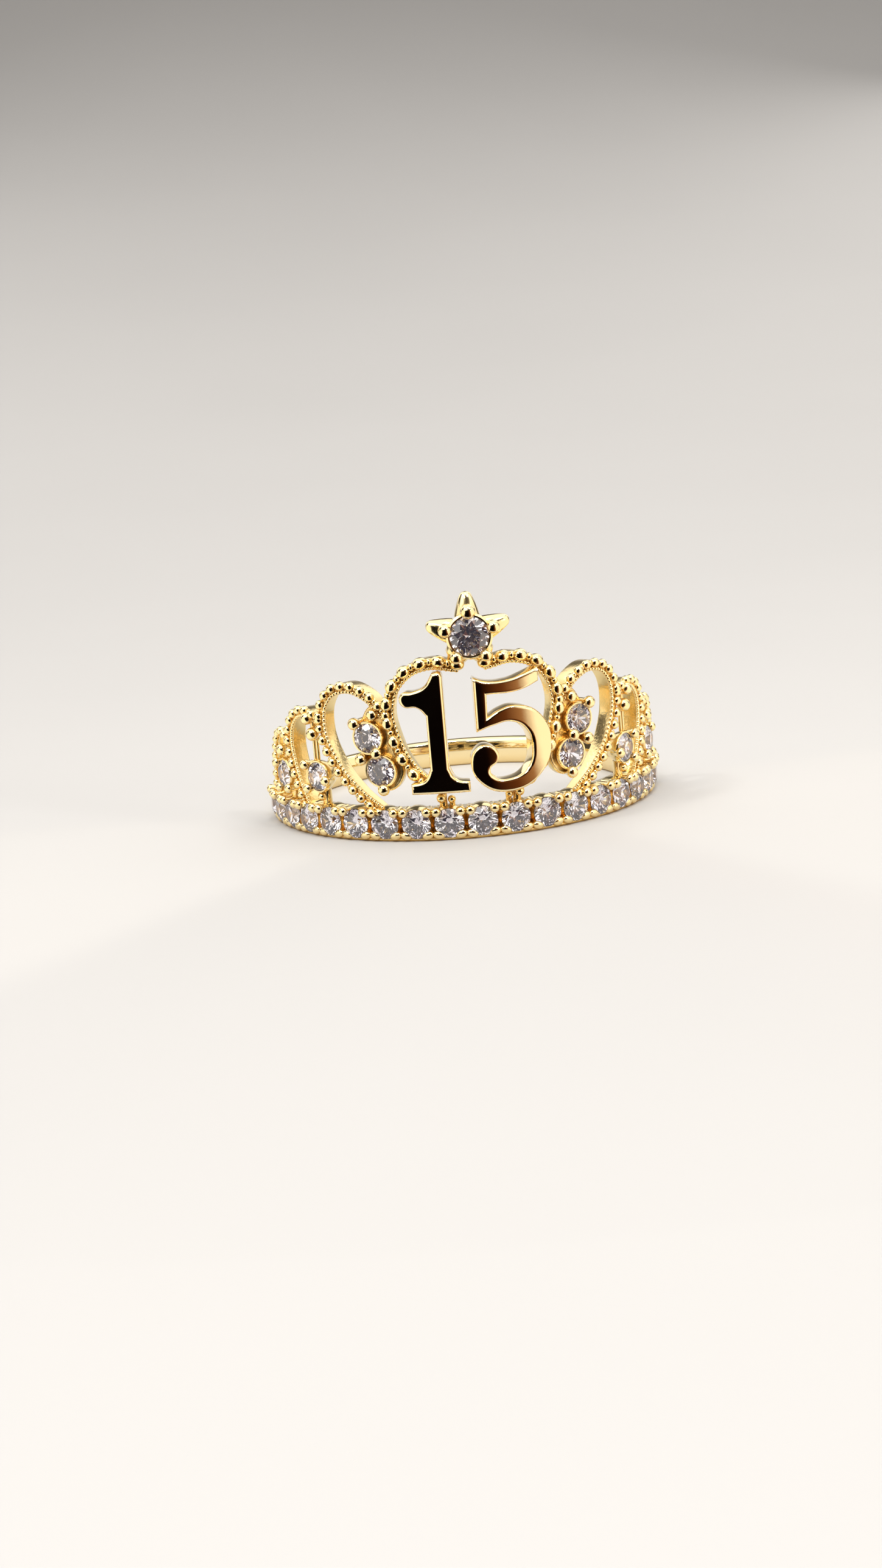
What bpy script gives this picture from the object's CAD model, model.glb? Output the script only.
"""The looks of a tiara finger ring: gold casting, bead settings, polished numerals and clear stones.

Pieces of the gallery are drawn flat and then rolled round the finger: a flat point holds the arc
length round the front (s), the height above the table (z) and the distance from the ring's axis (r).
Sizes are in millimetres until a piece is built, and metres in its mesh.
"""

import math
from typing import NamedTuple

import bmesh
import bpy
from mathutils import Matrix, Vector


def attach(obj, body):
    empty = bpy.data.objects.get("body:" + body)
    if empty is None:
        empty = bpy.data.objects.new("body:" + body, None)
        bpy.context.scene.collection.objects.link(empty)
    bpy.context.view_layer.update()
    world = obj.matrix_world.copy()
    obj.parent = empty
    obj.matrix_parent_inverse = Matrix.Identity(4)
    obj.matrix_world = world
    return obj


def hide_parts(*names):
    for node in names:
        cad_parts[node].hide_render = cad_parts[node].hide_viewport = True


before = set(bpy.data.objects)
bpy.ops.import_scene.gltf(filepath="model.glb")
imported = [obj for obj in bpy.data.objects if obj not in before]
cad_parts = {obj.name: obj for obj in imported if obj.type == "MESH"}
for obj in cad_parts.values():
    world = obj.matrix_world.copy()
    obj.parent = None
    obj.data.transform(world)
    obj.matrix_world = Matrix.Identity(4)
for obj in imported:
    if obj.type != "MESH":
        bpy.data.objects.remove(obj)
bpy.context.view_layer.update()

MM = 0.001
BODY = "root"

# Hoop and rail
ROLL_R = 10.25  # arc lengths are measured on this radius
FINGER_R = 8.65
BAND_HEIGHT = 1.5
ROW_COUNT = 19
ROW_PITCH = math.pi / ROW_COUNT
ROW_Z = 0.86
ROW_STONE_D = 1.5
LINER_OUTER_R = 9.6
RAIL_RIMS = [(9.86, 0.12, 0.12), (9.4, 1.38, 0.1)]  # (distance from the axis, height, wire radius)
SHANK_OUTER_R = 9.8

# The rail's pairs of grains above and of lobes below, between two stones
GRAIN_HALF_GAP = 0.24
GRAIN_Z = 1.49
GRAIN_R = 0.25
LOBE_HALF_GAP = 0.28
LOBE_Z = 0.3
LOBE_R = 0.21
LOBE_DEPTH = 0.7

# Settings
GIRDLE_R = 10.0
SMALL_STONE_D = 1.5
STAR_STONE_D = 1.95
STAR_GIRDLE_R = 10.3
STAR_Z = 10.0
STAR_ARMS_SHORTER = (0.0, 0.0, 0.45, 0.45, 0.0)  # from the top arm, on round to the left
STAR_PRONG_RADII = (0.38, 0.34, 0.31, 0.31, 0.34)
STAR_PRONG_REACH = 1.2  # from the middle of the star
LEAF_PRONG_R = 0.31

# Gallery walls and plates
WALL_INNER_R = 8.97
WALL_OUTER_R = 9.85
WALL_EDGE_ROUND = 0.09
MILGRAIN_R = 0.11
MILGRAIN_SPACING = 0.24
MILGRAIN_SPACER_R = 0.09
PLATE_INNER_R = 9.15
PLATE_OUTER_R = 9.75
FOOT_Z = 1.5

# Numerals
NUMERAL_BACK_R = 9.6
NUMERAL_FACE_R = 10.62
NUMERAL_BEVEL = 0.17


class Scroll(NamedTuple):
    """A gallery wall, its row of beads, and the fine milgrain along its inner edge."""
    cad_wall: str
    line: list  # the right-hand wall's centre line, as (s, z)
    width: float
    bead_r: float
    bead_spacing: float
    bead_stretch: float
    spacer_r: float
    milgrain_aside: float  # from the centre line towards the opening, or 0 for no milgrain


SCROLLS = {
    "arch": Scroll(
        "central_arch",
        [(0.7, 8.6), (2.25, 8.78), (3.6, 8.2), (4.42, 6.85), (4.2, 5.1), (3.4, 3.55), (2.6, 2.75)],
        width=0.42, bead_r=0.32, bead_spacing=0.92, bead_stretch=1.2, spacer_r=0.2, milgrain_aside=0.27),
    "large": Scroll(
        "large_scroll",
        [(4.6, 6.3), (5.65, 7.35), (7.1, 7.7), (8.35, 7.0),
         (8.7, 5.6), (8.05, 4.0), (6.7, 2.5), (5.35, FOOT_Z)],
        width=0.34, bead_r=0.24, bead_spacing=0.58, bead_stretch=1.05, spacer_r=0.14, milgrain_aside=0.25),
    "middle": Scroll(
        "middle_scroll",
        [(8.8, 5.95), (10.0, 6.35), (11.15, 5.95), (11.75, 4.9), (11.5, 3.4), (10.5, FOOT_Z)],
        width=0.32, bead_r=0.235, bead_spacing=0.55, bead_stretch=1.05, spacer_r=0.13, milgrain_aside=0.22),
    "small": Scroll(
        "small_scroll",
        [(11.85, 4.6), (12.8, 5.0), (13.65, 4.5), (14.35, 3.2), (14.8, FOOT_Z)],
        width=0.3, bead_r=0.22, bead_spacing=0.52, bead_stretch=1.05, spacer_r=0.12, milgrain_aside=0),
}

# Stones and prong balls of the right-hand settings, as (s, z)
LEAF_STONES = {"upper": (5.62, 5.2), "lower": (5.02, 3.56)}
LEAF_PRONGS = [(6.25, 5.93), (5.12, 4.48), (6.02, 4.16), (4.88, 2.66)]
LEAF_OUTLINE = [
    (5.2, 6.8), (6.15, 5.95), (6.3, 4.9), (5.7, 3.4), (4.95, 2.5), (3.9, 3.3), (4.3, 4.6), (4.5, 5.8)]
MIDDLE_STONE = (9.1, 3.1)
MIDDLE_PRONGS = [(9.95, 3.65), (8.42, 2.95), (9.85, 2.45)]
SMALL_STONE = (12.45, 2.85)
SMALL_PRONGS = [(13.3, 3.35), (13.0, 2.1), (11.8, 2.2)]


# ---- Node trees ----

class Value:
    """A socket whose arithmetic adds Math nodes to its tree."""

    def __init__(self, tree, socket):
        self.tree = tree
        self.socket = socket

    def math(self, operation, *others):
        inputs = dict(enumerate((self,) + others))
        return self.tree.add("ShaderNodeMath", {"operation": operation}, inputs)()

    def __add__(self, other):
        return self.math("ADD", other)

    __radd__ = __add__

    def __sub__(self, other):
        return self.math("SUBTRACT", other)

    def __rsub__(self, other):
        return self.math("MULTIPLY", -1.0).math("ADD", other)

    def __mul__(self, other):
        return self.math("MULTIPLY", other)

    __rmul__ = __mul__

    def __truediv__(self, other):
        return self.math("DIVIDE", other)

    def clamped(self):
        return self.math("MAXIMUM", 0.0).math("MINIMUM", 1.0)


class Tree:
    """A Geometry Nodes or shader tree that is being wired up."""

    def __init__(self, nodes, links):
        self.nodes = nodes
        self.links = links

    def add(self, kind, settings, inputs):
        """Adds a node and returns a function that gives its outputs by name or number."""
        node = self.nodes.new(kind)
        for name, setting in settings.items():
            if name == "stops":
                ramp = node.color_ramp
                for index, (place, colour) in enumerate(setting):
                    stop = ramp.elements[index] if index < 2 else ramp.elements.new(place)
                    stop.position, stop.color = place, colour
            else:
                setattr(node, name, setting)
        for key, value in inputs.items():
            if isinstance(value, Value):
                self.links.new(value.socket, node.inputs[key])
            else:
                node.inputs[key].default_value = value
        return lambda key=0: Value(self, node.outputs[key])


# ---- Materials ----

def new_material(name):
    material = bpy.data.materials.new(name)
    material.use_nodes = True
    material.node_tree.nodes.clear()
    return material, Tree(material.node_tree.nodes, material.node_tree.links)


def mixed(tree, factor, first, second):
    """A colour between two colours."""
    return tree.add("ShaderNodeMix", {"data_type": "RGBA"}, {0: factor, 6: first, 7: second})(2)


def noise(tree, grain_mm, detail=2.0):
    """Soft noise from 0 to 1 whose grains are grain_mm across on the object."""
    place = tree.add("ShaderNodeTexCoord", {}, {})("Object")
    inputs = {"Vector": place, "Scale": 1 / (grain_mm * MM), "Detail": detail}
    return tree.add("ShaderNodeTexNoise", {}, inputs)(0)


def openness(tree, reach_mm):
    """1 on open faces, falling towards 0 in recesses up to reach_mm across."""
    settings = {"samples": 6}
    return tree.add("ShaderNodeAmbientOcclusion", settings, {"Distance": reach_mm * MM})("AO")


def gold(name, bright, deep, roughness, grain_mm, grain_height_mm, tarnish):
    """Gold plate: bright on open faces and deep in recesses, with the casting's own grain."""
    material, tree = new_material(name)
    open_face = openness(tree, reach_mm=0.55)
    cloud = (noise(tree, grain_mm=1.3) - 0.5) * 0.25
    shade = ((1 - open_face) * tarnish + cloud).clamped()
    grain = noise(tree, grain_mm, 3.0)
    relief = {"Strength": 1.0, "Distance": grain_height_mm * MM, "Height": grain}
    bump = tree.add("ShaderNodeBump", {}, relief)
    surface = tree.add("ShaderNodeBsdfPrincipled", {}, {
        "Base Color": mixed(tree, shade, bright, deep),
        "Metallic": 1.0,
        "Roughness": (grain * 0.1 + (1 - open_face) * 0.2 + roughness).clamped(),
        "Normal": bump(),
    })
    tree.add("ShaderNodeOutputMaterial", {}, {"Surface": surface()})
    return material


def clear_stone(name):
    """Clear cut stone with a faint lilac body colour that shifts from one part of it to the next."""
    material, tree = new_material(name)
    fleck = (noise(tree, 0.6) * 3.0 - 1.1).clamped()
    surface = tree.add("ShaderNodeBsdfPrincipled", {}, {
        "Base Color": mixed(tree, fleck, (0.99, 0.98, 1.0, 1), (0.88, 0.83, 0.97, 1)),
        "Roughness": 0.0,
        "IOR": 2.16,
        "Transmission Weight": 1.0,
        "Emission Color": (0.84, 0.78, 1.0, 1),
        "Emission Strength": 0.012,
    })
    tree.add("ShaderNodeOutputMaterial", {}, {"Surface": surface()})
    return material


CAST_GOLD = gold("cast_gold", bright=(0.98, 0.79, 0.4, 1), deep=(0.64, 0.34, 0.04, 1),
                 roughness=0.15, grain_mm=0.14, grain_height_mm=0.012, tarnish=0.95)
BEAD_GOLD = gold("bead_gold", bright=(1.0, 0.83, 0.46, 1), deep=(0.74, 0.43, 0.09, 1),
                 roughness=0.07, grain_mm=0.3, grain_height_mm=0.005, tarnish=0.8)
POLISHED_GOLD = gold("polished_gold", bright=(1.0, 0.83, 0.48, 1), deep=(0.8, 0.53, 0.18, 1),
                     roughness=0.03, grain_mm=1.2, grain_height_mm=0.004, tarnish=0.5)
CLEAR_STONE = clear_stone("clear_stone")


# ---- Making pieces ----

def link(name, data):
    piece = bpy.data.objects.new(name, data)
    bpy.context.scene.collection.objects.link(piece)
    return piece


def mesh_of(bm, name, *materials):
    """Makes a mesh of a bmesh, which is used up."""
    mesh = bpy.data.meshes.new(name)
    bm.to_mesh(mesh)
    bm.free()
    for material in materials:
        mesh.materials.append(material)
    return mesh


def finished(piece, slot, *nodes):
    """Rides the piece on the ring in place of the CAD nodes that it stands for."""
    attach(piece, BODY)
    if nodes:
        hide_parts(*nodes)
    return piece


def mesh_piece(name, bm, material, slot, *nodes, smooth_deg=40):
    """Makes a piece from a bmesh in metres, smooth across edges flatter than smooth_deg."""
    bmesh.ops.remove_doubles(bm, verts=bm.verts, dist=1e-8)
    bmesh.ops.recalc_face_normals(bm, faces=bm.faces)
    if bm.calc_volume(signed=True) < 0:
        bmesh.ops.reverse_faces(bm, faces=bm.faces)
    mesh = mesh_of(bm, name, material)
    mesh.shade_smooth()
    mesh.set_sharp_from_angle(angle=math.radians(smooth_deg))
    return finished(link(name, mesh), slot, *nodes)


def rolled(s, z, r):
    """The place in metres of a flat point."""
    turn = s / ROLL_R
    return Vector((r * math.sin(turn), -r * math.cos(turn), z)) * MM


def facing(s, z, r):
    """A matrix that stands a shape on the ring: its z axis points outward and its y axis up."""
    turn = s / ROLL_R
    across = Vector((math.cos(turn), math.sin(turn), 0))
    outward = Vector((math.sin(turn), -math.cos(turn), 0))
    turned = Matrix((across, (0, 0, 1), outward)).transposed().to_4x4()
    return Matrix.Translation(rolled(s, z, r)) @ turned @ Matrix.Scale(MM, 4)


def angles_round(count, start=0.0):
    """Evenly spaced angles, once round."""
    return [start + 2 * math.pi * k / count for k in range(count)]


def lathe(bm, profile, matrix, segments=24):
    """Turns a profile of (radius, height) round the z axis of the matrix."""
    rings = []
    for radius, height in profile:
        if radius == 0:
            rings.append([bm.verts.new(matrix @ Vector((0, 0, height)))] * segments)
            continue
        ring = []
        for angle in angles_round(segments):
            place = Vector((radius * math.cos(angle), radius * math.sin(angle), height))
            ring.append(bm.verts.new(matrix @ place))
        rings.append(ring)
    for lower, upper in zip(rings, rings[1:]):
        for k in range(segments):
            corners = [lower[k], lower[(k + 1) % segments], upper[(k + 1) % segments], upper[k]]
            bm.faces.new(list(dict.fromkeys(corners)))  # a closed end gives triangles


def ball_profile(radius, squash=1.0, steps=10):
    """Half the outline of a ball, from its back to its front."""
    return [(radius * math.sin(math.pi * k / steps) if 0 < k < steps else 0,
             -radius * squash * math.cos(math.pi * k / steps)) for k in range(steps + 1)]


def closed_lathe(bm, profile, matrix, segments=32):
    """Turns a closed outline into a hoop."""
    lathe(bm, profile + profile[:1], matrix, segments)


# ---- Stones ----

def brilliant_mesh(bm, diameter, matrix):
    """A round brilliant: table, star, kite and half facets above the girdle, mains and halves below."""
    r = diameter / 2
    table_r, shoulder_r, tip_r = 0.56 * r, 0.8 * r, 0.22 * r
    girdle_low, girdle_high = 0.0, 0.035 * r
    crown_slope = math.tan(math.radians(34))
    pavilion_depth = r * math.tan(math.radians(40.8))
    half_turn = math.cos(math.pi / 8)

    def ring(count, start, radius, height):
        places = [Vector((radius * math.cos(angle), radius * math.sin(angle), height))
                  for angle in angles_round(count, start)]
        return [bm.verts.new(matrix @ place) for place in places]

    table = ring(8, 0, table_r, girdle_high + (r - table_r) * crown_slope)
    shoulder = ring(8, math.pi / 8, shoulder_r, girdle_high + (r - shoulder_r * half_turn) * crown_slope)
    upper = ring(16, 0, r, girdle_high)
    lower = ring(16, 0, r, girdle_low)
    tips = ring(8, math.pi / 8, tip_r, -pavilion_depth * (1 - tip_r * half_turn / r))
    culet = bm.verts.new(matrix @ Vector((0, 0, -pavilion_depth)))

    bm.faces.new(table)
    for k in range(8):
        after, before = (k + 1) % 8, (k - 1) % 8
        main, half, next_main = 2 * k, 2 * k + 1, (2 * k + 2) % 16
        bm.faces.new((table[k], shoulder[k], table[after]))
        bm.faces.new((table[k], shoulder[before], upper[main], shoulder[k]))
        bm.faces.new((shoulder[k], upper[main], upper[half]))
        bm.faces.new((shoulder[k], upper[half], upper[next_main]))
        bm.faces.new((culet, tips[before], lower[main], tips[k]))
        bm.faces.new((tips[k], lower[main], lower[half]))
        bm.faces.new((tips[k], lower[half], lower[next_main]))
    for k in range(16):
        bm.faces.new((upper[k], upper[(k + 1) % 16], lower[(k + 1) % 16], lower[k]))


def stone(name, node, s, z, diameter, girdle_r, turn_deg=0.0):
    bm = bmesh.new()
    matrix = facing(s, z, girdle_r) @ Matrix.Rotation(math.radians(turn_deg), 4, "Z")
    brilliant_mesh(bm, diameter * 0.985, matrix)
    mesh_piece(name, bm, CLEAR_STONE, "clear_stone", node, smooth_deg=1)


def set_stones():
    """Every stone in its seat. No two are turned the same way in their cups."""
    for k in range(ROW_COUNT):
        s = (k - ROW_COUNT // 2) * ROW_PITCH * ROLL_R
        label = f"{k + 1:02d}"
        stone(f"row_brilliant_{label}", f"rail_stone_{label}", s, ROW_Z, ROW_STONE_D, GIRDLE_R, 17 * k)
    for side, hand in ((1, "right"), (-1, "left")):
        for level, (s, z) in LEAF_STONES.items():
            stone(f"leaf_brilliant_{level}_{hand}", f"leaf_stone_{level}_{hand}",
                  side * s, z, SMALL_STONE_D, GIRDLE_R, 31 * s)
        for level, (s, z) in (("middle", MIDDLE_STONE), ("small", SMALL_STONE)):
            stone(f"{level}_brilliant_{hand}", f"{level}_stone_{hand}",
                  side * s, z, SMALL_STONE_D, GIRDLE_R, 23 * s)
    stone("star_brilliant", "star_stone", 0, STAR_Z, STAR_STONE_D, STAR_GIRDLE_R, 11)


# ---- Geometry Nodes trees ----

def growing_tree(name, inputs):
    """A Geometry Nodes tree with named inputs: returns the group, its tree and its inputs' values."""
    group = bpy.data.node_groups.new(name, "GeometryNodeTree")
    tree = Tree(group.nodes, group.links)
    for label, kind in inputs:
        group.interface.new_socket(label, in_out="INPUT", socket_type="NodeSocket" + kind)
    group.interface.new_socket("Geometry", in_out="OUTPUT", socket_type="NodeSocketGeometry")
    entry = tree.add("NodeGroupInput", {}, {})
    return group, tree, {label: entry(label) for label, kind in inputs}


def end_tree(tree, geometry, material):
    """Ends a tree: real geometry, smooth, in its material."""
    real = tree.add("GeometryNodeRealizeInstances", {}, {"Geometry": geometry})()
    smooth = tree.add("GeometryNodeSetShadeSmooth", {}, {"Geometry": real})()
    dressed = tree.add("GeometryNodeSetMaterial", {}, {"Geometry": smooth, "Material": material})()
    tree.add("NodeGroupOutput", {}, {"Geometry": dressed})


def roll_up(tree, geometry):
    """Rolls flat geometry, with s on X, z on Y and r on Z, round the ring."""
    real = tree.add("GeometryNodeRealizeInstances", {}, {"Geometry": geometry})()
    place = tree.add("GeometryNodeInputPosition", {}, {})()
    flat = tree.add("ShaderNodeSeparateXYZ", {}, {0: place})
    turn = flat("X") / (ROLL_R * MM)
    x = flat("Z") * turn.math("SINE")
    y = flat("Z") * turn.math("COSINE") * -1.0
    round_place = tree.add("ShaderNodeCombineXYZ", {}, {"X": x, "Y": y, "Z": flat("Y")})()
    return tree.add("GeometryNodeSetPosition", {}, {"Geometry": real, "Position": round_place})()


def flat_path(tree, path, spacing):
    """The path object's curve, with points spacing apart, whose normals lie in the flat."""
    curve = tree.add("GeometryNodeObjectInfo", {}, {"Object": path})("Geometry")
    even = tree.add("GeometryNodeResampleCurve", {"mode": "LENGTH"}, {"Curve": curve, "Length": spacing})()
    return tree.add("GeometryNodeSetCurveNormal", {"mode": "Z_UP"}, {"Curve": even})()


def lifted(tree, geometry, height):
    """Moves flat geometry out to a distance from the ring's axis."""
    offset = tree.add("ShaderNodeCombineXYZ", {}, {"Z": height})()
    return tree.add("GeometryNodeTransform", {}, {"Geometry": geometry, "Translation": offset})()


def wall_tree():
    """A wall that follows a path: a rounded oblong section swept along it, then rolled round the ring."""
    group, tree, inputs = growing_tree("scroll_wall", [
        ("Path", "Object"), ("Wall width", "Float"), ("Wall depth", "Float"), ("Middle radius", "Float"),
        ("Edge round", "Float"), ("Material", "Material")])
    curve = flat_path(tree, inputs["Path"], 0.12 * MM)
    section = tree.add("GeometryNodeCurvePrimitiveQuadrilateral", {},
                       {"Width": inputs["Wall width"], "Height": inputs["Wall depth"]})()
    rounded = tree.add("GeometryNodeFilletCurve", {"mode": "POLY"},
                       {"Curve": section, "Radius": inputs["Edge round"], "Count": 3})()
    wall = tree.add("GeometryNodeCurveToMesh", {},
                    {"Curve": curve, "Profile Curve": rounded, "Fill Caps": True})()
    end_tree(tree, roll_up(tree, lifted(tree, wall, inputs["Middle radius"])), inputs["Material"])
    return group


def bead_tree():
    """A row of beads along a path, with a small spacer in each gap."""
    group, tree, inputs = growing_tree("bead_row", [
        ("Path", "Object"), ("Bead radius", "Float"), ("Bead spacing", "Float"), ("Bead stretch", "Float"),
        ("Spacer radius", "Float"), ("Side offset", "Float"), ("Face radius", "Float"),
        ("Material", "Material")])
    tangent = tree.add("GeometryNodeInputTangent", {}, {})()
    along = tree.add("FunctionNodeAlignRotationToVector", {"axis": "X"}, {"Vector": tangent})()
    normal = tree.add("GeometryNodeInputNormal", {}, {})()
    aside = tree.add("ShaderNodeVectorMath", {"operation": "SCALE"},
                     {0: normal, "Scale": inputs["Side offset"]})()
    rows = tree.add("GeometryNodeJoinGeometry", {}, {})
    join = rows().socket.node
    for spacing, radius, stretch in ((inputs["Bead spacing"], inputs["Bead radius"], inputs["Bead stretch"]),
                                     (inputs["Bead spacing"] * 0.5, inputs["Spacer radius"], 0.8)):
        curve = flat_path(tree, inputs["Path"], spacing)
        moved = tree.add("GeometryNodeSetPosition", {}, {"Geometry": curve, "Offset": aside})()
        ball = tree.add("GeometryNodeMeshUVSphere", {}, {"Segments": 18, "Rings": 11, "Radius": radius})()
        size = tree.add("ShaderNodeCombineXYZ", {}, {"X": stretch, "Y": 1.0, "Z": 1.0})()
        balls = tree.add("GeometryNodeInstanceOnPoints", {},
                         {"Points": moved, "Instance": ball, "Rotation": along, "Scale": size})()
        tree.links.new(balls.socket, join.inputs[0])
    end_tree(tree, roll_up(tree, lifted(tree, rows(), inputs["Face radius"])), inputs["Material"])
    return group


def turned_tree():
    """Copies of one cell, turned side by side round the ring's axis."""
    group, tree, inputs = growing_tree("turned_copies", [
        ("Cell", "Object"), ("Count", "Int"), ("Pitch", "Float"), ("Material", "Material")])
    cell = tree.add("GeometryNodeObjectInfo", {}, {"Object": inputs["Cell"]})("Geometry")
    points = tree.add("GeometryNodePoints", {}, {"Count": inputs["Count"]})()
    index = tree.add("GeometryNodeInputIndex", {}, {})()
    turn = (index - (inputs["Count"] - 1) * 0.5) * inputs["Pitch"]
    angles = tree.add("ShaderNodeCombineXYZ", {}, {"Z": turn})()
    rotation = tree.add("FunctionNodeEulerToRotation", {}, {"Euler": angles})()
    copies = tree.add("GeometryNodeInstanceOnPoints", {},
                      {"Points": points, "Instance": cell, "Rotation": rotation})()
    real = tree.add("GeometryNodeRealizeInstances", {}, {"Geometry": copies})()
    joined = tree.add("GeometryNodeMergeByDistance", {}, {"Geometry": real, "Distance": 0.001 * MM})()
    end_tree(tree, joined, inputs["Material"])
    return group


def grow(name, group, slot, nodes, **settings):
    """Runs a tree once and keeps what it makes as a plain mesh piece. Input names take _ for a space."""
    piece = link(name, bpy.data.meshes.new(name))
    modifier = piece.modifiers.new("growing", "NODES")
    modifier.node_group = group
    for item in group.interface.items_tree:
        key = item.name.replace(" ", "_").lower()
        if item.in_out == "INPUT" and key in settings:
            modifier[item.identifier] = settings[key]
    bpy.context.view_layer.update()
    evaluated = piece.evaluated_get(bpy.context.evaluated_depsgraph_get())
    mesh = bpy.data.meshes.new_from_object(evaluated)
    piece.modifiers.remove(modifier)
    bm = bmesh.new()
    bm.from_mesh(mesh)
    bmesh.ops.holes_fill(bm, edges=[edge for edge in bm.edges if edge.is_boundary])
    bmesh.ops.recalc_face_normals(bm, faces=bm.faces)
    bm.to_mesh(mesh)
    bm.free()
    piece.data = mesh
    mesh.set_sharp_from_angle(angle=math.radians(50))
    return finished(piece, slot, *nodes)


def path_curve(points, side):
    """A smooth flat curve through the (s, z) points of one side."""
    curve = bpy.data.curves.new("path", "CURVE")
    curve.dimensions = "3D"
    spline = curve.splines.new("BEZIER")
    spline.bezier_points.add(len(points) - 1)
    spline.resolution_u = 24
    for point, (s, z) in zip(spline.bezier_points, points):
        point.co = Vector((side * s, z, 0)) * MM
        point.handle_left_type = point.handle_right_type = "AUTO"
    return link("path", curve)


# ---- Settings ----

def collet(bm, s, z, diameter, face_r, depth=0.95, seat_wall=0.1):
    """An open cup with a bevelled seat that a stone drops into."""
    r = diameter / 2
    wall_r = r + seat_wall
    outside = [(0.55 * r, -depth), (r + 0.02, -0.4), (wall_r, -0.12), (wall_r, 0.0), (r + 0.06, 0.07)]
    inside = [(r - 0.01, 0.06), (r - 0.02, -0.02), (0.62 * r, -0.36), (0.4 * r, -0.6), (0.38 * r, -depth)]
    closed_lathe(bm, outside + inside, facing(s, z, face_r), 40)


def prong(bm, s, z, face_r, ball_r, depth=0.95):
    """A round pillar with a ball head that holds a stone's edge."""
    neck = 0.62 * ball_r
    head = [(radius, height + 0.35 * ball_r)
            for radius, height in ball_profile(ball_r, 0.92) if height > -0.7 * ball_r]
    profile = [(0, -depth), (neck, -depth), (neck, -0.9 * ball_r)] + head
    lathe(bm, profile, facing(s, z, face_r), 20)


def ball(bm, s, z, r, radius, squash=1.0):
    lathe(bm, ball_profile(radius, squash), facing(s, z, r), 20)


def liner_cell(bm):
    """One cell's share of the rail's inner band, with a tapered light hole behind the stone."""
    steps = 32
    chamfer = 0.09
    half_s = ROW_PITCH * ROLL_R / 2
    half_z = BAND_HEIGHT / 2

    def hole(r, radius):
        return [(radius * math.cos(angle), ROW_Z + radius * math.sin(angle), r)
                for angle in angles_round(steps)]

    def edge(r, shrink):
        """The cell's oblong edge, with as many points as the hole."""
        points = []
        for angle in angles_round(steps):
            across, up = math.cos(angle), math.sin(angle)
            reach = 1 / max(abs(across), abs(up))
            points.append((half_s * across * reach, half_z + (half_z - shrink) * up * reach, r))
        return points

    loops = [hole(FINGER_R, 0.28), hole(LINER_OUTER_R, 0.5),
             edge(LINER_OUTER_R, 0.0), edge(FINGER_R + chamfer, 0.0), edge(FINGER_R, chamfer)]
    verts = [[bm.verts.new(rolled(*point)) for point in loop] for loop in loops]
    for first in range(len(loops)):
        second = (first + 1) % len(loops)
        for here in range(steps):
            after = (here + 1) % steps
            corners = [(first, here), (first, after), (second, after), (second, here)]
            if any(abs(loops[loop][point][0]) < half_s - 1e-6 for loop, point in corners):
                # A face on the cell's side is left out, because the next cell carries on there.
                bm.faces.new([verts[loop][point] for loop, point in corners])


def rail_cell():
    """One stone's cell of the rail: its cup, half of each neighbouring grain pair, and the lower lobes."""
    bm = bmesh.new()
    liner_cell(bm)
    cup = [(0.6, -1.2), (0.84, -0.75), (0.84, -0.25), (0.76, -0.09), (0.75, -0.03), (0.7, -0.05),
           (0.46, -0.36), (0.3, -0.6), (0.28, -1.2)]
    closed_lathe(bm, cup, facing(0, ROW_Z, GIRDLE_R), 40)
    half_pitch = ROW_PITCH * ROLL_R / 2
    front_half = ball_profile(LOBE_R, squash=0.75)[5:]
    lobe = [(0, -LOBE_DEPTH), (LOBE_R, -LOBE_DEPTH)] + front_half
    for side in (-1, 1):
        prong(bm, side * (half_pitch - GRAIN_HALF_GAP), GRAIN_Z, GIRDLE_R + 0.1, GRAIN_R, depth=0.8)
        place = facing(side * (half_pitch - LOBE_HALF_GAP), LOBE_Z, GIRDLE_R + 0.02)
        lean = Matrix.Rotation(side * math.radians(14), 4, "Z")
        widen = Matrix.Diagonal((1.45, 1.0, 1.0, 1.0))
        lathe(bm, lobe, place @ lean @ widen, 24)
    return bm


# ---- Flat slabs: numerals, star, leaves ----

def flat_shape(name, outline, holes, depth, bevel):
    """A mesh in the flat of a shape with softly rounded edges, as deep as depth."""
    curve = bpy.data.curves.new(name, "CURVE")
    curve.dimensions = "2D"
    curve.fill_mode = "BOTH"
    curve.bevel_depth = bevel * MM
    curve.offset = -bevel * MM
    curve.bevel_resolution = 3
    curve.extrude = (depth / 2 - bevel) * MM
    loops = [outline]
    for s, z, radius in holes:
        loops.append([(s + radius * math.cos(angle), z + radius * math.sin(angle), "smooth")
                      for angle in angles_round(8)])
    for points in loops:
        spline = curve.splines.new("BEZIER")
        spline.bezier_points.add(len(points) - 1)
        spline.use_cyclic_u = True
        spline.resolution_u = 10
        for point, (s, z, kind) in zip(spline.bezier_points, points):
            point.co = Vector((s, z, 0)) * MM
            point.handle_left_type = point.handle_right_type = "AUTO" if kind == "smooth" else "VECTOR"
    source = link(name, curve)
    bpy.context.view_layer.update()
    flat = bpy.data.meshes.new_from_object(source.evaluated_get(bpy.context.evaluated_depsgraph_get()))
    bpy.data.objects.remove(source)
    return flat


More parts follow.
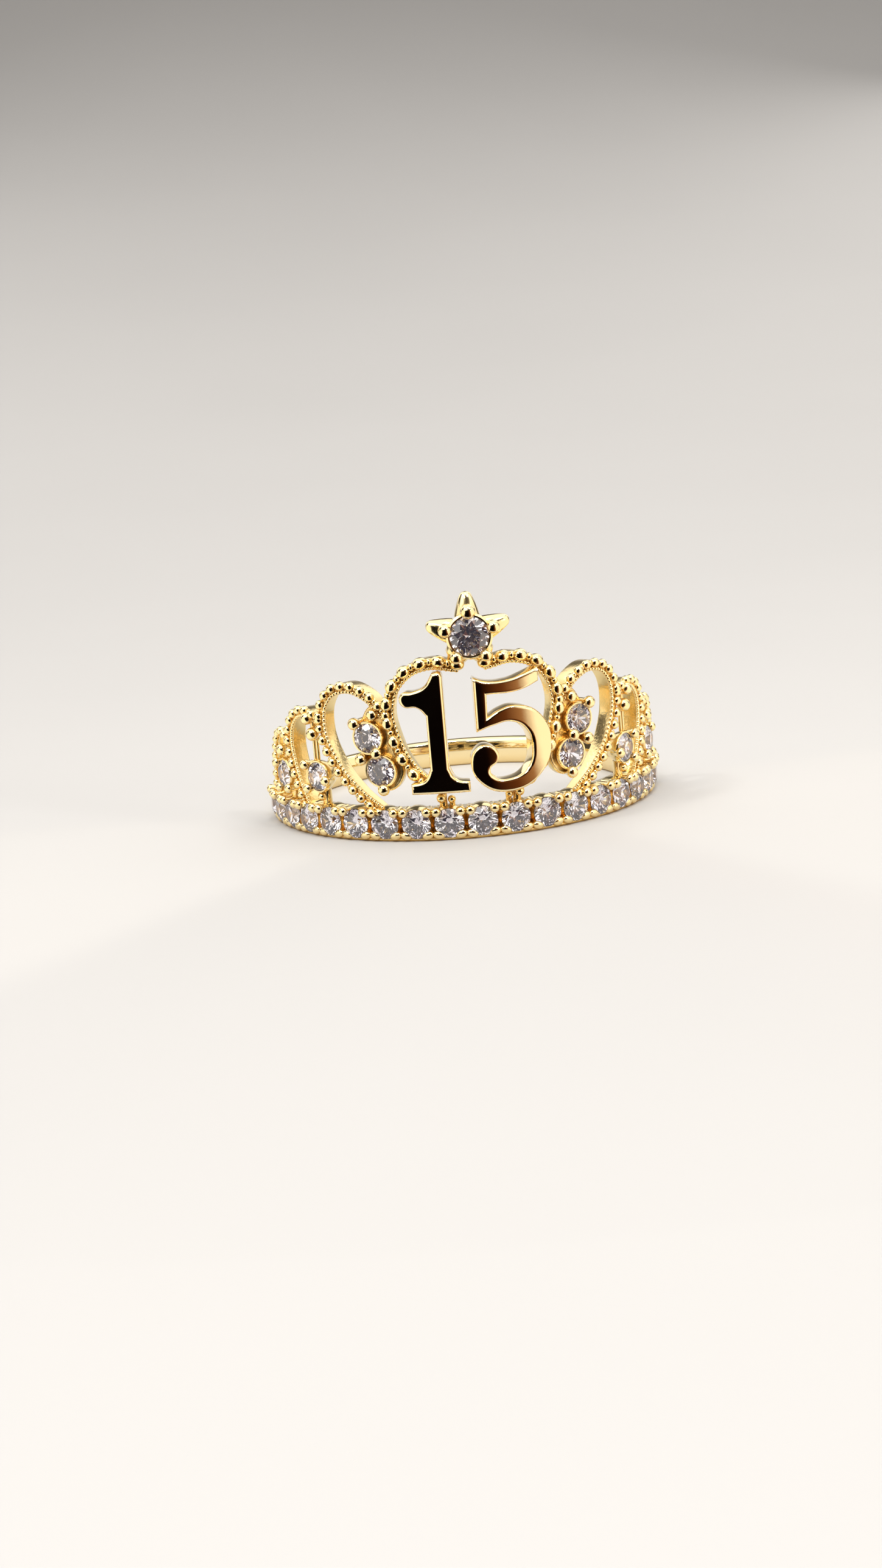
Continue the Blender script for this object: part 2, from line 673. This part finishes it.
def cut_in_strips(bm, strip):
    """Cuts a flat mesh into upright strips, so that it can be rolled smoothly."""
    bmesh.ops.remove_doubles(bm, verts=bm.verts, dist=1e-8)
    lowest = min(v.co.x for v in bm.verts)
    highest = max(v.co.x for v in bm.verts)
    for k in range(1, int((highest - lowest) / strip) + 1):
        everything = bm.verts[:] + bm.edges[:] + bm.faces[:]
        place = (lowest + k * strip, 0, 0)
        bmesh.ops.bisect_plane(bm, geom=everything, dist=1e-9, plane_co=place, plane_no=(1, 0, 0))


def slab(name, outline, back_r, face_r, bevel, material, slot, node, holes=()):
    """A flat shape with softly rounded edges, rolled round the ring.

    Its points are (s, z, smooth or corner), and its holes are (s, z, radius).
    """
    bm = bmesh.new()
    bm.from_mesh(flat_shape(name, outline, holes, face_r - back_r, bevel))
    cut_in_strips(bm, 0.22 * MM)
    middle_r = (back_r + face_r) / 2
    for v in bm.verts:
        v.co = rolled(v.co.x / MM, v.co.y / MM, middle_r + v.co.z / MM)
    piece = mesh_piece(name, bm, material, slot, node, smooth_deg=35)
    shade_face(piece.data, face_r)


def shade_face(mesh, face_r):
    """Gives every corner on the polished face the face's true direction, straight out from the axis."""
    normals = []
    for loop in mesh.loops:
        place = mesh.vertices[loop.vertex_index].co
        outward = Vector((place.x, place.y, 0))
        on_face = outward.length > (face_r - 0.004) * MM
        normals.append(outward.normalized() if on_face else (0, 0, 0))
    mesh.normals_split_custom_set(normals)


NUMERAL_ONE = [
    (-3.33, 2.45, "corner"), (-0.5, 2.45, "corner"), (-0.5, 2.98, "corner"), (-1.15, 3.14, "smooth"),
    (-1.46, 3.68, "corner"), (-1.46, 8.2, "corner"), (-1.56, 8.36, "smooth"), (-1.95, 8.36, "corner"),
    (-2.38, 7.74, "smooth"), (-2.95, 7.52, "smooth"), (-3.48, 7.44, "smooth"), (-3.6, 7.1, "smooth"),
    (-3.38, 6.78, "smooth"), (-2.75, 6.7, "smooth"), (-2.36, 6.3, "corner"), (-2.36, 3.68, "corner"),
    (-2.68, 3.14, "smooth"), (-3.33, 2.98, "corner")]
NUMERAL_FIVE = [
    (-0.03, 8.02, "corner"), (-0.03, 5.32, "corner"), (0.8, 5.58, "smooth"), (1.68, 5.68, "smooth"),
    (2.4, 5.2, "smooth"), (2.63, 4.28, "smooth"), (2.3, 3.32, "smooth"), (1.32, 2.92, "smooth"),
    (0.7, 3.06, "smooth"), (0.5, 3.45, "smooth"), (0.86, 3.8, "smooth"), (0.95, 4.25, "smooth"),
    (0.4, 4.7, "smooth"), (-0.15, 4.5, "smooth"), (-0.4, 3.9, "smooth"), (0.0, 2.8, "smooth"),
    (1.27, 2.26, "smooth"), (3.0, 2.95, "smooth"), (3.64, 4.5, "smooth"), (3.15, 5.9, "smooth"),
    (1.97, 6.48, "smooth"), (1.15, 6.36, "smooth"), (0.55, 6.03, "corner"), (0.58, 7.11, "corner"),
    (2.2, 7.16, "smooth"), (3.16, 7.5, "corner"), (3.17, 8.18, "corner"), (2.5, 7.97, "smooth"),
    (1.6, 7.76, "smooth"), (0.5, 7.8, "smooth")]


def numerals():
    for figure, outline in (("one", NUMERAL_ONE), ("five", NUMERAL_FIVE)):
        slab(f"figure_{figure}", outline, NUMERAL_BACK_R, NUMERAL_FACE_R, NUMERAL_BEVEL,
             POLISHED_GOLD, "polished_gold", f"numeral_{figure}")


def star():
    """The star: five round-ended arms about a cup, with a ball at the foot of each arm."""
    turns = [72 * k for k in range(5)]
    upright = Matrix.Rotation(math.radians(-90), 4, "X")
    flatter = Matrix.Diagonal((1, 1, 0.8, 1))
    bm = bmesh.new()
    for turn, shorter in zip(turns, STAR_ARMS_SHORTER):
        arm = [(0, 0.85), (0.4, 0.85), (0.62, 0.95), (0.56, 1.2), (0.47, 1.5 - shorter / 2),
               (0.36, 1.8 - shorter), (0.26, 2.0 - shorter), (0.16, 2.09 - shorter), (0, 2.13 - shorter)]
        lean = Matrix.Rotation(math.radians(turn), 4, "Z") @ upright
        lathe(bm, arm, facing(0, STAR_Z, WALL_OUTER_R) @ flatter @ lean, 24)
    mesh_piece("star_body", bm, BEAD_GOLD, "cast_gold", "star_setting")

    bm = bmesh.new()
    collet(bm, 0, STAR_Z, STAR_STONE_D, STAR_GIRDLE_R + 0.02, depth=1.0, seat_wall=0.16)
    for turn, radius in zip(turns, STAR_PRONG_RADII):
        angle = math.radians(90 + turn)
        s = STAR_PRONG_REACH * math.cos(angle)
        z = STAR_Z + STAR_PRONG_REACH * math.sin(angle)
        prong(bm, s, z, STAR_GIRDLE_R + 0.06, radius, depth=0.9)
    mesh_piece("star_collet", bm, BEAD_GOLD, "cast_gold")


# ---- Hoop ----

def hoop(bm, profile_at, start_deg, end_deg, steps):
    """Sweeps a closed outline of (r, z) round the ring's axis. Angle 0 is the middle of the front."""
    rings = []
    for k in range(steps + 1):
        angle = math.radians(start_deg + (end_deg - start_deg) * k / steps)
        rings.append([bm.verts.new(rolled(angle * ROLL_R, z, r)) for r, z in profile_at(k / steps)])
    for before, after in zip(rings, rings[1:]):
        for k in range(len(before)):
            after_k = (k + 1) % len(before)
            bm.faces.new((before[k], before[after_k], after[after_k], after[k]))
    bm.faces.new(rings[0])
    bm.faces.new(rings[-1])


def wire_outline(r, z, radius):
    return [(r + radius * math.cos(angle), z + radius * math.sin(angle)) for angle in angles_round(12)]


def shank():
    """The plain rear half, a little thinner at the back than at its shoulders."""
    round_depth = 0.55  # how far the round outer face reaches in from its crest
    half_height = BAND_HEIGHT / 2

    def section(part):
        outer_r = SHANK_OUTER_R - 0.12 * math.sin(math.pi * part)
        outline = []
        for step in range(13):
            angle = math.radians(-90 + 15 * step)
            outline.append((outer_r - round_depth + round_depth * math.cos(angle),
                            half_height + half_height * math.sin(angle)))
        return outline + [(FINGER_R + 0.12, BAND_HEIGHT), (FINGER_R, BAND_HEIGHT - 0.14),
                          (FINGER_R, 0.14), (FINGER_R + 0.12, 0.0)]

    bm = bmesh.new()
    hoop(bm, section, 90, 270, 96)
    mesh_piece("hoop_back", bm, POLISHED_GOLD, "polished_gold", "shank", smooth_deg=50)


def rail(turned):
    """The rail: a rim above and below, and nineteen cells turned side by side between them."""
    bm = bmesh.new()
    for rim in RAIL_RIMS:
        hoop(bm, lambda part: wire_outline(*rim), -90, 90, 120)
    mesh_piece("rail_rims", bm, CAST_GOLD, "cast_gold", "rail")

    cell_bm = rail_cell()
    bmesh.ops.remove_doubles(cell_bm, verts=cell_bm.verts, dist=1e-8)
    bmesh.ops.recalc_face_normals(cell_bm, faces=cell_bm.faces)
    cell = link("cell", mesh_of(cell_bm, "cell"))
    grow("rail_settings", turned, "cast_gold", [],
         cell=cell, count=ROW_COUNT, pitch=ROW_PITCH, material=BEAD_GOLD)
    bpy.data.objects.remove(cell)


# ---- Gallery ----

def scroll(name, shape, side, hand, walls, beads):
    """A wall on its centre line, its row of beads, and on some a fine milgrain along the inner edge."""
    path = path_curve(shape.line, side)
    grow(f"{name}_{hand}_wall", walls, "cast_gold", [f"{shape.cad_wall}_{hand}"], path=path,
         wall_width=shape.width * MM, wall_depth=(WALL_OUTER_R - WALL_INNER_R) * MM,
         middle_radius=(WALL_OUTER_R + WALL_INNER_R) / 2 * MM, edge_round=WALL_EDGE_ROUND * MM,
         material=CAST_GOLD)
    grow(f"{name}_{hand}_beads", beads, "cast_gold", [f"{name}_beading_{hand}"], path=path,
         bead_radius=shape.bead_r * MM, bead_spacing=shape.bead_spacing * MM, bead_stretch=shape.bead_stretch,
         spacer_radius=shape.spacer_r * MM, side_offset=-0.05 * MM * side,
         face_radius=(WALL_OUTER_R + 0.06) * MM, material=BEAD_GOLD)
    if shape.milgrain_aside:
        grow(f"{name}_{hand}_milgrain", beads, "cast_gold", [], path=path,
             bead_radius=MILGRAIN_R * MM, bead_spacing=MILGRAIN_SPACING * MM, bead_stretch=1.0,
             spacer_radius=MILGRAIN_SPACER_R * MM, side_offset=shape.milgrain_aside * MM * side,
             face_radius=(WALL_OUTER_R - 0.02) * MM, material=BEAD_GOLD)
    bpy.data.objects.remove(path)


def leaf(side, hand):
    """Two cups on a leaf-shaped plate, between the arch and the large scroll."""
    outline = [(side * s, z, "smooth") for s, z in LEAF_OUTLINE]
    holes = [(side * s, z, 0.55) for s, z in LEAF_STONES.values()]
    slab(f"leaf_plate_{hand}", outline, PLATE_INNER_R, PLATE_OUTER_R, 0.12,
         CAST_GOLD, "cast_gold", f"leaf_setting_{hand}", holes)
    bm = bmesh.new()
    for s, z in LEAF_STONES.values():
        collet(bm, side * s, z, SMALL_STONE_D, GIRDLE_R)
    for s, z in LEAF_PRONGS:
        prong(bm, side * s, z, GIRDLE_R + 0.06, LEAF_PRONG_R)
    ball(bm, side * 5.32, 6.35, r=9.95, radius=0.3, squash=0.8)
    mesh_piece(f"leaf_collets_{hand}", bm, BEAD_GOLD, "cast_gold")


def rod(bm, s, low_z, high_z, r, radius):
    """An upright wire."""
    upright = facing(s, low_z, r) @ Matrix.Rotation(math.radians(-90), 4, "X")
    lathe(bm, [(0, 0), (radius, 0), (radius, high_z - low_z), (0, high_z - low_z)], upright, 14)


def hung_cup(bm, side, stone_place, prongs, prong_r):
    """A cup for one stone, with its prong balls."""
    s, z = stone_place
    collet(bm, side * s, z, SMALL_STONE_D, GIRDLE_R)
    for prong_s, prong_z in prongs:
        prong(bm, side * prong_s, prong_z, GIRDLE_R + 0.05, prong_r, depth=0.4)


def middle_pendant(side, hand):
    """A stone in a cup that hangs from the middle scroll on two balls and two thin wires."""
    bm = bmesh.new()
    hung_cup(bm, side, MIDDLE_STONE, MIDDLE_PRONGS, prong_r=0.27)
    ball(bm, side * 9.6, 6.02, r=GIRDLE_R, radius=0.32)
    ball(bm, side * 9.25, 5.25, r=GIRDLE_R, radius=0.34)
    for wire_s in (9.22, 9.48):
        rod(bm, side * wire_s, 3.8, 5.2, r=9.75, radius=0.085)
    rod(bm, side * 9.5, 5.2, 6.2, r=9.7, radius=0.16)
    rod(bm, side * 9.1, 1.45, 2.4, r=9.5, radius=0.24)
    ball(bm, side * 9.1, 2.05, r=9.85, radius=0.22)
    mesh_piece(f"middle_drop_{hand}", bm, BEAD_GOLD, "cast_gold", f"middle_pendant_{hand}")


def small_pendant(side, hand):
    """A stone in a cup in the small scroll, under one ball."""
    bm = bmesh.new()
    hung_cup(bm, side, SMALL_STONE, SMALL_PRONGS, prong_r=0.26)
    ball(bm, side * 12.62, 4.1, r=GIRDLE_R, radius=0.3)
    rod(bm, side * 12.65, 3.5, 4.9, r=9.7, radius=0.16)
    rod(bm, side * 12.45, 1.45, 2.2, r=9.5, radius=0.24)
    mesh_piece(f"small_drop_{hand}", bm, BEAD_GOLD, "cast_gold", f"small_pendant_{hand}")


def post(side, hand):
    """The short post, with two balls and a thinner rod beside it, that holds a numeral up from the rail."""
    bm = bmesh.new()
    rod(bm, side * 1.97, 1.45, 2.7, r=9.5, radius=0.2)
    ball(bm, side * 2.02, 2.1, r=9.85, radius=0.24)
    ball(bm, side * 1.5, 2.0, r=9.7, radius=0.2)
    rod(bm, side * 1.5, 1.45, 2.1, r=9.5, radius=0.14)
    mesh_piece(f"post_{hand}", bm, BEAD_GOLD, "cast_gold", f"numeral_post_{hand}")


def gallery(walls, beads):
    for side, hand in ((1, "right"), (-1, "left")):
        for name, shape in SCROLLS.items():
            scroll(name, shape, side, hand, walls, beads)
        leaf(side, hand)
        middle_pendant(side, hand)
        small_pendant(side, hand)
        post(side, hand)


# ---- Studio ----

def sheet(bm, rows):
    """Joins rows of points, in metres, into one open sheet."""
    rows = [[bm.verts.new(point) for point in row] for row in rows]
    for before, after in zip(rows, rows[1:]):
        for k in range(len(before) - 1):
            bm.faces.new((before[k], before[k + 1], after[k + 1], after[k]))


def floor():
    """A pale table that sweeps up behind the ring."""
    reach = 1.2
    sweep_y = 0.06
    sweep_r = 0.6
    material, tree = new_material("pale_table")
    shade = noise(tree, 40.0)
    surface = tree.add("ShaderNodeBsdfPrincipled", {}, {
        "Base Color": mixed(tree, shade, (0.54, 0.535, 0.53, 1), (0.515, 0.51, 0.505, 1)), "Roughness": 0.8})
    tree.add("ShaderNodeOutputMaterial", {}, {"Surface": surface()})
    profile = [(-reach, 0.0), (sweep_y, 0.0)]
    for degrees in range(3, 91, 3):
        angle = math.radians(degrees)
        profile.append((sweep_y + sweep_r * math.sin(angle), sweep_r - sweep_r * math.cos(angle)))
    profile.append((sweep_y + sweep_r, reach))
    bm = bmesh.new()
    sheet(bm, [[(-reach, y, z), (reach, y, z)] for y, z in profile])
    mesh = mesh_of(bm, "table", material)
    mesh.shade_smooth()
    link("table", mesh)


def dark_card():
    """A card round the ring's front that only reflections see: black in the middle, pale at its sides."""
    material, tree = new_material("dark_card")
    place = tree.add("ShaderNodeTexCoord", {}, {})("Object")
    flat = tree.add("ShaderNodeSeparateXYZ", {}, {0: place})
    half_turns = flat("X").math("ARCTAN2", flat("Y") * -1.0) / math.pi
    ramp = tree.add("ShaderNodeValToRGB", {"stops": [
        (0.27, (1.25, 1.15, 1.0, 1)), (0.3, (0.001, 0.001, 0.001, 1)), (0.54, (0.003, 0.001, 0.001, 1)),
        (0.6, (0.12, 0.035, 0.01, 1)), (0.645, (0.35, 0.16, 0.07, 1)), (0.68, (1.25, 1.12, 0.95, 1))]},
        {"Fac": half_turns + 0.5})
    surface = tree.add("ShaderNodeEmission", {}, {"Color": ramp("Color"), "Strength": 1.0})
    tree.add("ShaderNodeOutputMaterial", {}, {"Surface": surface()})
    bm = bmesh.new()
    turns = [math.radians(degrees) for degrees in range(-95, 96, 10)]
    sheet(bm, [[Vector((reach * math.sin(turn), -reach * math.cos(turn), z)) * MM for turn in turns]
               for reach, z in ((13, 0.4), (60, 0.4), (66, 34))])
    card = link("dark_card", mesh_of(bm, "dark_card", material))
    card.visible_camera = card.visible_diffuse = card.visible_shadow = False


def softbox(name, place, size, watts, colour=(1.0, 0.97, 0.93)):
    light = bpy.data.lights.new(name, "AREA")
    light.size = size
    light.energy = watts
    light.color = colour
    lamp = link(name, light)
    lamp.location = place
    lamp.rotation_mode = "QUATERNION"
    lamp.rotation_quaternion = Vector(place).to_track_quat("Z", "Y")


def room():
    """A dim warm room all round."""
    world = bpy.data.worlds.new("room")
    world.use_nodes = True
    background = world.node_tree.nodes["Background"]
    background.inputs["Color"].default_value = (0.6, 0.5, 0.42, 1)
    background.inputs["Strength"].default_value = 0.12
    bpy.context.scene.world = world


def studio():
    floor()
    dark_card()
    softbox("overhead", (0.0, -0.02, 0.32), size=0.5, watts=1.15)
    softbox("key", (-0.18, -0.16, 0.16), size=0.22, watts=0.26)
    softbox("side", (0.25, -0.08, 0.12), size=0.26, watts=0.3, colour=(1.0, 0.95, 0.88))
    softbox("rim_left", (-0.17, 0.19, 0.17), size=0.24, watts=0.22)
    softbox("rim_right", (0.17, 0.19, 0.17), size=0.24, watts=0.22)
    sparks = [
        (-0.06, -0.24, 0.2), (0.12, -0.2, 0.22), (0.02, -0.12, 0.3), (-0.2, -0.1, 0.24), (0.2, -0.2, 0.08)]
    for k, place in enumerate(sparks):
        softbox(f"spark_{k}", place, size=0.03, watts=0.16)
    room()
    bpy.context.scene.view_settings.view_transform = "Standard"


def camera():
    """A close view from a little above, a touch to the ring's left, and slightly tilted."""
    azimuth = math.radians(4.0)
    elevation = math.radians(11.63)
    roll = math.radians(4.71)
    looked_at = Vector((0, 0, 1.46))
    distance = 120.0
    aside = 1.21
    lift = 0.65
    level = math.cos(elevation)
    back = Vector((-math.sin(azimuth) * level, -math.cos(azimuth) * level, math.sin(elevation)))
    right = Vector((math.cos(azimuth), -math.sin(azimuth), 0))
    up = back.cross(right)
    place = looked_at + back * distance - right * aside - up * lift
    tilted_right = right * math.cos(roll) - up * math.sin(roll)
    tilted_up = right * math.sin(roll) + up * math.cos(roll)
    turned = Matrix((tilted_right, tilted_up, back)).transposed().to_4x4()
    data = bpy.data.cameras.new("camera")
    data.lens = 51.9
    data.clip_start = 0.01
    data.clip_end = 10
    eye = link("camera", data)
    eye.matrix_world = Matrix.Translation(place * MM) @ turned
    bpy.context.scene.camera = eye


set_stones()
numerals()
star()
shank()
rail(turned_tree())
gallery(wall_tree(), bead_tree())
studio()
camera()
